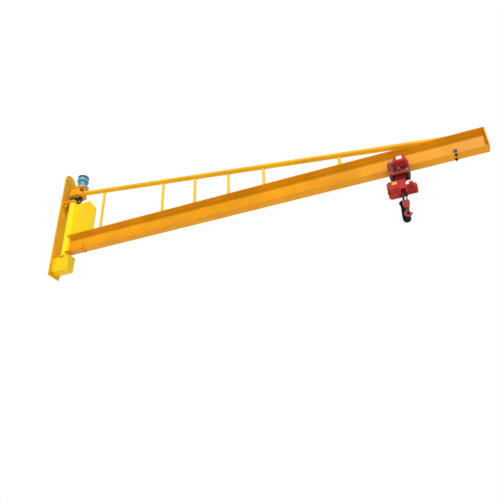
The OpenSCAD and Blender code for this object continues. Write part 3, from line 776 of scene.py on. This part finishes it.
class CRANE_OT_jib_welds(Operator):
    """Draw the weld beads of the jib: gusset, beam root, struts, tie pipe, mast and tip plate"""

    bl_idname = "crane.jib_welds"
    bl_label = "Jib welds"

    rise, run = 0.861, 5.895
    proud = 1.03

    def execute(self, context):
        shape, upright = bmesh.new(), bmesh.new()
        low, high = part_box("root_gusset")
        foot, top = (corner.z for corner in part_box("jib_beam"))
        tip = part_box("tip_plate")[0].x
        mast_r, half_web, fillet = half_width("mast_tube"), 0.0045, 0.03
        root = [(cos(a), sin(a)) for a in map(radians, range(8, 59, 6))]
        for side, y in ((-1, low.y), (1, high.y)):
            bead(shape, (low.x + 0.012, y, top), (high.x, y, top))
            bead(upright, (low.x, y, top + 0.006), (low.x, y, high.z))
            for z in (foot, top):
                bead(shape, *((MAST + mast_r * c, side * mast_r * s, z) for c, s in root))
            bead(shape, (tip, side * half_web, foot + fillet), (tip, side * half_web, top - fillet))
        ring_bead(upright, (MAST, 0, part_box("mast_foot")[1].z), mast_r)
        ring_bead(upright, (MAST, 0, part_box("head_bottom_plate")[0].z), mast_r)
        for i in range(1, 7):
            strut = f"tie_strut_{i}"
            x, radius = middle(strut).x, half_width(strut)
            ring_bead(shape, (x, 0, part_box(strut)[0].z), radius)
            bead(shape, *self.saddle(x, radius))
        bead(shape, *self.tie_foot(top))
        bead(shape, *self.tie_head())
        piece("jib_welds", shape, "jib", "jib_orange", smooth=True)
        piece("mast_welds", upright, "jib", "crane_yellow", smooth=True)
        return {"FINISHED"}

    def tie(self, x):
        """Height of the tie's axis above a point of the beam."""
        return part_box("jib_beam")[1].z + self.rise * (1 - (x - MAST) / self.run)

    def tie_radius(self):
        low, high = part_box("tie_pipe")
        return (high.y - low.y) / 2

    def saddle(self, x, radius):
        """Line where a strut meets the tie pipe."""
        lean = cos(atan2(self.rise, self.run))
        points = []
        for a in round_angles(32):
            dx, dy = radius * cos(a), radius * sin(a)
            z = self.tie(x + dx) - sqrt(self.tie_radius() ** 2 - dy**2) / lean
            points.append((x + dx * self.proud, dy * self.proud, z))
        return points

    def tie_foot(self, top):
        """Long oval where the tie pipe runs into the beam's top flange."""
        end = MAST + self.run
        short = self.tie_radius()
        long = short / sin(atan2(self.rise, self.run))
        return [(end + long * cos(a), short * sin(a), top) for a in round_angles(72)]

    def tie_head(self):
        """Ring where the tie pipe meets the head box's round wall."""
        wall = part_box("head_wall")[1].x - PINION
        points = []
        for a in round_angles(36):
            y = self.tie_radius() * self.proud * sin(a)
            x = PINION + sqrt(wall**2 - y**2)
            points.append((x, y, self.tie(x) + self.tie_radius() * self.proud * cos(a)))
        return points


class CRANE_OT_frame_welds(Operator):
    """Draw the weld beads of the wall frame: slewing arm, its ribs and the lower bracket"""

    bl_idname = "crane.frame_welds"
    bl_label = "Wall frame welds"

    def execute(self, context):
        shape = bmesh.new()
        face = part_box("wall_plate")[1].x
        low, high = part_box("top_arm")
        for z in (low.z, high.z):
            bead(shape, (face, low.y, z), (face, high.y, z))
        low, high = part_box("arm_ribs")
        rib = 0.014
        for y in (low.y, low.y + rib, high.y - rib, high.y):
            bead(shape, (face, y, low.z), (face, y, high.z), (high.x, y, high.z))
        low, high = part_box("bracket_cheeks")
        plate_low, plate_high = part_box("bracket_bearing_plate")
        for y in (low.y, high.y):
            bead(shape, (high.x, y, low.z), (face, y, low.z))
            bead(shape, (face, y, low.z), (face, y, plate_high.z))
            bead(shape, (face, y, high.z), (plate_high.x, y, high.z))
            bead(shape, (high.x, y, low.z), (high.x, y, high.z))
        bead(shape, (face, plate_low.y, plate_high.z), (face, plate_high.y, plate_high.z))
        piece("frame_welds", shape, "wall_frame", "crane_yellow", smooth=True)
        return {"FINISHED"}


class CRANE_OT_trolley_details(Operator):
    """Add the trolley's nuts, the black plugs that fill the side plates' windows as painted shade, and the travel
    motor's blank plate
    """

    bl_idname = "crane.trolley_details"
    bl_label = "Trolley details"

    def execute(self, context):
        nuts, plugs, label = bmesh.new(), bmesh.new(), bmesh.new()
        wheels, spacers = middle("trolley_wheels"), middle("trolley_spacers")
        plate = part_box("trolley_plate_rear")[1].y
        low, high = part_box("suspension_shaft")
        shaft = (low.z + high.z) / 2
        wheel_out, spacer_out, window_out, stud = 0.075, 0.098, 0.049, 0.004
        for side in SIDES:
            out = side * AXIS_Y
            for dx in (-wheel_out, wheel_out):
                if side > 0 or dx < 0:
                    bolt(nuts, (wheels.x + dx, side * plate, wheels.z), out, 0.02, stud)
            for dx in (-spacer_out, spacer_out):
                bolt(nuts, (spacers.x + dx, side * plate, spacers.z), out, 0.016, stud)
            bolt(nuts, (wheels.x, side * (high.y - 0.004), shaft), out, 0.021)
        piece("trolley_nuts", nuts, "trolley", "zinc_plate")
        # The black plugs in the side plates' windows are painted shade: dark pieces put where the open windows would
        # show only shadow.
        neck, rim, depth = 0.0178, 0.0212, 0.006
        dished = [
            (0, -depth), (neck, -depth), (neck, 0), (rim, 0), (rim, 0.0015), (0.0195, 0.003), (0.015, 0.003),
            (0.0135, 0.001), (0, 0.001),
        ]
        for side in SIDES:
            for dx in (-window_out, window_out):
                turned(plugs, facing((wheels.x + dx, side * plate, shaft), side * AXIS_Y), dished, 32)
        piece("window_plugs", plugs, "trolley", "black_rubber")
        low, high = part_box("travel_motor")
        place = facing(((low.x + high.x) / 2, low.y, low.z + 0.059), -AXIS_Y)
        thin_plate(label, place, 0.07, 0.05, 0.0012, 0.004)
        piece("blank_rating_plate", label, "trolley", "white_film")
        return {"FINISHED"}


class CRANE_OT_hoist_details(Operator):
    """Add the hoist's cover screws, cast seam, chain guide, blank sticker and motor grille"""

    bl_idname = "crane.hoist_details"
    bl_label = "Hoist details"

    def execute(self, context):
        low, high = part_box("hoist_gear_case")
        motor = middle("hoist_motor_cover")
        end = Vector((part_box("hoist_motor_cover")[1].x, motor.y, motor.z))
        self.screws(low, high, end)
        self.seam(high.x - 0.003, low, high)
        self.guide()
        sticker, tilt = bmesh.new(), Vector((0, -0.903, 0.43))
        place = facing(((low.x + high.x) / 2 + 0.026, -0.084, high.z - 0.0504), tilt)
        thin_plate(sticker, place, 0.062, 0.072, 0.001, 0.004)
        piece("blank_load_plate", sticker, "trolley", "orange_film")
        grille = bmesh.new()
        for r in (0.016, 0.026):
            grille_ring(grille, facing(end, AXIS_X), r, 0, 36)
        piece("hoist_fan_grille", grille, "trolley", "hoist_red")
        return {"FINISHED"}

    def screws(self, low, high, end):
        """Screws of the gear case's cover and of the motor's end cover."""
        case_out, inset, motor_out = 0.062, 0.03, 0.036
        shape = bmesh.new()
        for y in (-case_out, case_out):
            for z in (low.z + inset, high.z - inset, (low.z + high.z) / 2):
                bolt(shape, (low.x, y, z), -AXIS_X, detail().screw * 1.2)
        for a in CORNERS:
            point = (end.x, end.y + motor_out * cos(a), end.z + motor_out * sin(a))
            bolt(shape, point, AXIS_X, detail().screw)
        piece("hoist_screws", shape, "trolley", "zinc_plate")

    def seam(self, x, low, high):
        """A cast band round the eight-sided gear case where its two halves meet."""
        proud, thick = 0.003, 0.008
        top, side, foot = 0.06 + proud, high.y + proud, 0.062 + proud
        half = [(top, high.z + proud), (side, high.z - 0.084), (side, low.z + 0.044), (foot, low.z - proud)]
        outline = half + [(-y, z) for y, z in reversed(half)]
        shape = bmesh.new()
        face = shape.faces.new([shape.verts.new((x - thick, y, z)) for y, z in outline])
        grown = bmesh.ops.extrude_face_region(shape, geom=[face])["geom"]
        verts = [g for g in grown if isinstance(g, bmesh.types.BMVert)]
        bmesh.ops.translate(shape, vec=(thick, 0, 0), verts=verts)
        soften(shape, shape.edges[:], 0.0012, 2)
        piece("hoist_case_seam", shape, "trolley", "cast_red")

    def guide(self):
        """Rubber sleeves under the housing, one round each fall of the chain."""
        low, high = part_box("load_chain")
        fall = (high.y - low.y) / 2
        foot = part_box("hoist_chain_housing")[0].z
        bore, rim, tip = 0.0145, 0.0213, 0.033
        sleeve = [
            (bore, 0), (rim, 0), (rim, 0.006), (0.0195, 0.0075), (0.0188, 0.03), (0.0172, tip), (bore, tip), (bore, 0)]
        shape = bmesh.new()
        for x in (low.x + fall, high.x - fall):
            turned(shape, facing((x, 0, foot), -AXIS_Z), sleeve, 32)
        piece("chain_guide", shape, "trolley", "black_rubber")


class CRANE_OT_chain_bag(Operator):
    """Sew the chain bag: a sagging woven shell with a hem, in place of the plain bucket"""

    bl_idname = "crane.chain_bag"
    bl_label = "Chain bag"

    # Share of the height below the rim, and share of the rim's radius there
    levels = (
        (0.03, 0.97), (0.1, 0.93), (0.2, 0.9), (0.32, 0.9), (0.45, 0.92), (0.58, 0.95),
        (0.7, 0.98), (0.8, 0.985), (0.88, 0.94), (0.94, 0.82), (0.975, 0.6), (0.995, 0.3),
    )
    # Section of the hem: out from the rim's radius, and up from the rim
    roll = ((-0.005, 0), (0.0005, -0.001), (0.0015, -0.008), (-0.001, -0.013), (-0.006, -0.012), (-0.007, -0.005))
    segments = 56

    def execute(self, context):
        low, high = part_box("chain_bag")
        centre, radius, height = middle("chain_bag"), half_width("chain_bag"), high.z - low.z
        shape = bmesh.new()
        made = bmesh.ops.create_circle(shape, cap_ends=False, segments=self.segments, radius=radius)
        bmesh.ops.translate(shape, vec=(centre.x, centre.y, high.z), verts=made["verts"])
        ring = shape.edges[:]
        last, before = 0.0, 1.0
        space = Matrix.Translation((-centre.x, -centre.y, 0))
        for depth, girth in self.levels:
            verts, ring = draw_on(shape, ring)
            bmesh.ops.translate(shape, vec=(0, 0, -(depth - last) * height), verts=verts)
            bmesh.ops.scale(shape, vec=(girth / before, girth / before, 1), space=space, verts=verts)
            last, before = depth, girth
        bmesh.ops.holes_fill(shape, edges=ring, sides=self.segments)
        self.fold(shape, centre, high.z, height)
        bag = piece("chain_bag_cloth", shape, "trolley", "bag_cloth", smooth=True)
        self.unwrap(bag.data, centre)
        wall = bag.modifiers.new("cloth", "SOLIDIFY")
        wall.thickness = 0.0022
        wall.offset = -1.0
        subdivide(bag)
        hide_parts("chain_bag")
        hem = bmesh.new()
        section = [(radius + out, up) for out, up in (*self.roll, self.roll[0])]
        turned(hem, Matrix.Translation((centre.x, centre.y, high.z)), section, self.segments)
        band = piece("chain_bag_hem", hem, "trolley", "bag_cloth", smooth=True)
        self.unwrap(band.data, centre)
        return {"FINISHED"}

    def fold(self, shape, centre, top, height):
        """Presses soft upright folds and a heavy foot into the shell."""
        folds, deepest = detail().bag_folds, 0.035
        for v in shape.verts:
            depth = (top - v.co.z) / height
            bearing = atan2(v.co.y - centre.y, v.co.x - centre.x)
            wave = sin(folds * bearing + 5 * depth) + 0.5 * sin(2 * bearing - 9 * depth) - 0.6
            pull = deepest * sin(pi * min(depth * 1.1, 1.0)) * wave
            v.co.x += (v.co.x - centre.x) * pull
            v.co.y += (v.co.y - centre.y) * pull

    def unwrap(self, mesh, centre):
        """Wraps the weave round the bag: U round it, V up it, in the same scale."""
        layer = mesh.uv_layers.new(name="weave")
        for polygon in mesh.polygons:
            face_bearing = atan2(polygon.center.y - centre.y, polygon.center.x - centre.x)
            for loop in polygon.loop_indices:
                point = mesh.vertices[mesh.loops[loop].vertex_index].co
                bearing = atan2(point.y - centre.y, point.x - centre.x)
                bearing += tau * round((face_bearing - bearing) / tau)
                layer.data[loop].uv = (bearing * 0.5, point.z * 10)


class CRANE_OT_hook_details(Operator):
    """Forge the hook with its latch and collar, and bolt the hook block's cheeks"""

    bl_idname = "crane.hook_details"
    bl_label = "Hook details"

    bowl, thick, shank = 0.023, 0.014, 0.0129

    def execute(self, context):
        low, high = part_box("hook_block")
        across, flats = (low.x + high.x) / 2, 0.013
        bolts, collar = bmesh.new(), bmesh.new()
        for side in SIDES:
            bolt(bolts, (across, side * high.y, high.z - 0.024), side * AXIS_Y, flats)
            bolt(bolts, (across, side * (high.y - 0.001), high.z - 0.07), side * AXIS_Y, flats)
        piece("hook_block_bolts", bolts, "trolley", "faded_red")
        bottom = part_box("hook")[0].z
        forged = piece("forged_hook", self.forge(bottom, low.z), "hook", "faded_red", smooth=True)
        subdivide(forged)
        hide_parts("hook")
        latch = piece("sprung_latch", self.latch(bottom), "hook", "oiled_steel")
        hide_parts("hook_latch")
        bore, rim = 0.012, 0.0225
        washer = [
            (bore, 0), (0.021, 0.0015), (rim, 0.004), (rim, 0.009), (0.02, 0.0125), (bore, 0.0135), (bore, 0)]
        turned(collar, Matrix.Translation((HOOK, 0, low.z - 0.0195)), washer, 32)
        piece("hook_collar", collar, "hook", "oiled_steel")
        return {"FINISHED"}

    def latch(self, bottom):
        """Bends a sprung latch from the shank to the tip: a tongue with two cheeks on a riveted pin."""
        top = bottom + 2 * self.bowl + 3 * self.thick
        start, tongue_end, cheek_end, half_tongue, half_sheet = 0.003, 0.0445, 0.025, 0.006, 0.00075
        shape = bmesh.new()
        slab(shape, (start, -half_tongue, -0.005), (tongue_end, half_tongue, -0.002), 0.001)
        for y in (-half_tongue, half_tongue):
            slab(shape, (start, y - half_sheet, -0.0095), (cheek_end, y + half_sheet, -0.0025), 0.0006)
        half = [(0.0022, 0.0072), (0.0038, 0.0072), (0.0038, 0.0085), (0.0032, 0.0095), (0, 0.0095)]
        pin = [(r, -h) for r, h in reversed(half)] + half
        turned(shape, facing((0.0125, 0, -0.0065), AXIS_Y), pin, 20)
        place = Matrix.Translation((HOOK, 0, top)) @ Matrix.Rotation(radians(45), 4, "Y")
        bmesh.ops.transform(shape, matrix=place, verts=shape.verts)
        return shape

    def stations(self, bottom, block):
        """Places along the hook: point, heading, and the section's radii in the bowl's plane and across it."""
        reach, belly_grow, belly_narrow = self.bowl + self.thick, 0.1, 0.16
        middle_z = bottom + self.bowl + 2 * self.thick
        centre = Vector((HOOK, 0, middle_z))
        for z in (block + 0.03, block - 0.004, middle_z + reach + 0.01):
            yield Vector((HOOK, 0, z)), -AXIS_Z, self.shank, self.shank
        for degrees in range(100, 372, 10):
            a = radians(degrees)
            belly = sin(pi * (degrees - 90) / 270) if degrees < 360 else 0.0
            tip = max(0.0, (degrees - 330) / 40)
            flat = self.thick * (1 + belly_grow * belly - 0.42 * tip**2)
            wide = self.thick * (1 - belly_narrow * belly - 0.4 * tip**2)
            out = Vector((cos(a), 0, sin(a)))
            heading = Vector((-sin(a), 0, cos(a)))
            yield centre + out * (reach + 0.002 * tip), heading, flat, wide

    def forge(self, bottom, block):
        """Draws a ring down the shank and round the bowl, thick at the belly and thin at the tip."""
        sides = 20
        shape = bmesh.new()
        bmesh.ops.create_circle(shape, cap_ends=True, segments=sides, radius=1.0)
        verts, ring, last = shape.verts[:], shape.edges[:], None
        for point, heading, flat, wide in self.stations(bottom, block):
            if last:
                verts, ring = draw_on(shape, ring)
                bmesh.ops.transform(shape, matrix=last.inverted(), verts=verts)
            across = AXIS_Y.cross(heading)
            last = Matrix((across * flat, AXIS_Y * wide, heading * flat)).transposed().to_4x4()
            last.translation = point
            bmesh.ops.transform(shape, matrix=last, verts=verts)
        end = bmesh.ops.holes_fill(shape, edges=ring, sides=sides)["faces"]
        bmesh.ops.inset_region(shape, faces=end, thickness=0.003, depth=0.004)
        return shape


class CRANE_PT_panel(Panel):
    """Pieces of the crane"""

    bl_idname = "CRANE_PT_panel"
    bl_label = "Wall Jib Crane"
    bl_space_type = "VIEW_3D"
    bl_region_type = "UI"
    bl_category = "Crane"

    def draw(self, context):
        for operator in OPERATORS:
            self.layout.operator(operator.bl_idname)
        for name in VALUES:
            group = getattr(context.scene, name)
            column = self.layout.column(align=True)
            for key in group.__annotations__:
                column.prop(group, key)


VALUES = {"crane_finish": CraneFinish, "crane_detail": CraneDetail, "crane_stage": CraneStage}
OPERATORS = (
    CRANE_OT_stage,
    CRANE_OT_finishes,
    CRANE_OT_anchors,
    CRANE_OT_head_bolts,
    CRANE_OT_jib_welds,
    CRANE_OT_frame_welds,
    CRANE_OT_trolley_details,
    CRANE_OT_hoist_details,
    CRANE_OT_chain_bag,
    CRANE_OT_hook_details,
)
CLASSES = (*VALUES.values(), *OPERATORS, CRANE_PT_panel)


def register():
    for cls in CLASSES:
        bpy.utils.register_class(cls)
    for name, cls in VALUES.items():
        setattr(bpy.types.Scene, name, PointerProperty(type=cls))


def unregister():
    for name in VALUES:
        delattr(bpy.types.Scene, name)
    for cls in reversed(CLASSES):
        bpy.utils.unregister_class(cls)


def main():
    register()
    for operator in OPERATORS:
        getattr(bpy.ops.crane, operator.bl_idname.split(".")[1])()


if __name__ == "__main__":
    main()
